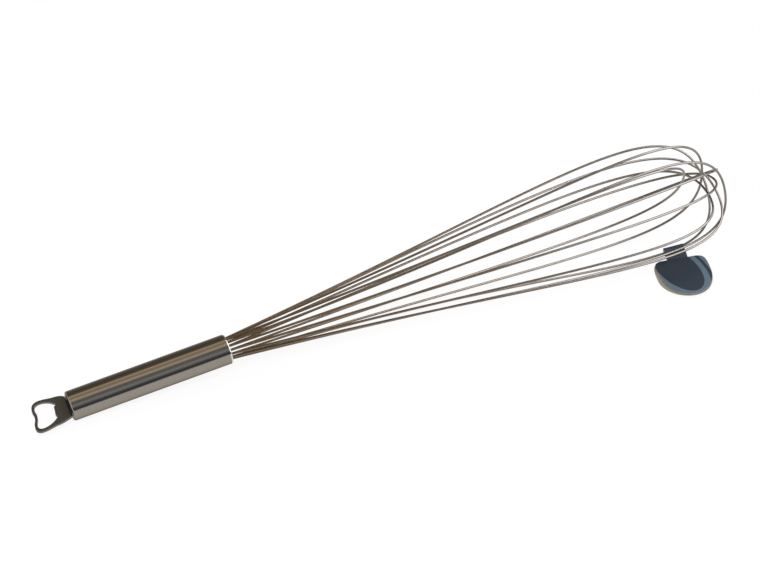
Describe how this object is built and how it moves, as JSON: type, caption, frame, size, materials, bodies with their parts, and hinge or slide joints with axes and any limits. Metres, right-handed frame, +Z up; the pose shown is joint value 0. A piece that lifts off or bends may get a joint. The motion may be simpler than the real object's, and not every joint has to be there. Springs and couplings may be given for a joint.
{
  "type": "balloon whisk",
  "caption": "Long balloon whisk with bowed steel wire loops, a satin tube handle, a bottle-opener hanging plate at the tail and a folded tag on one wire.",
  "frame": {"origin": "centre of the bounding box on the table plane", "axes": "+X from the handle towards the wire tips, +Z up from the table, the tag lies towards -Y"},
  "size_m": [0.6058, 0.1216, 0.1113],
  "materials": {
    "handle_steel": "satin drawn tube",
    "wire_steel": "bright drawn wire",
    "opener_steel": "stamped, tumbled",
    "plug_nylon": "moulded",
    "resin": "cast",
    "tag_card": "coated card, printed"
  },
  "bodies": {
    "whisk": {"handle_tube": "handle_steel", "front_plug": "plug_nylon", "potting_resin": "resin", "rear_cap": "plug_nylon", "tang_pin": "opener_steel", "bottle_opener": "opener_steel", "wire_loop_1": "wire_steel", "wire_loop_2": "wire_steel", "wire_loop_3": "wire_steel", "wire_loop_4": "wire_steel", "wire_loop_5": "wire_steel", "wire_loop_6": "wire_steel", "wire_loop_7": "wire_steel", "wire_loop_8": "wire_steel"},
    "tag": {"swing_tag": "tag_card"}
  },
  "joints": [
    {"name": "tag_swing", "type": "hinge", "parent": "whisk", "child": "tag", "pos_m": [0.25262, -0.00434, 0.00545], "axis": [0.989, -0.1302, 0.0698], "range_deg": [-22, 168]}
  ]
}
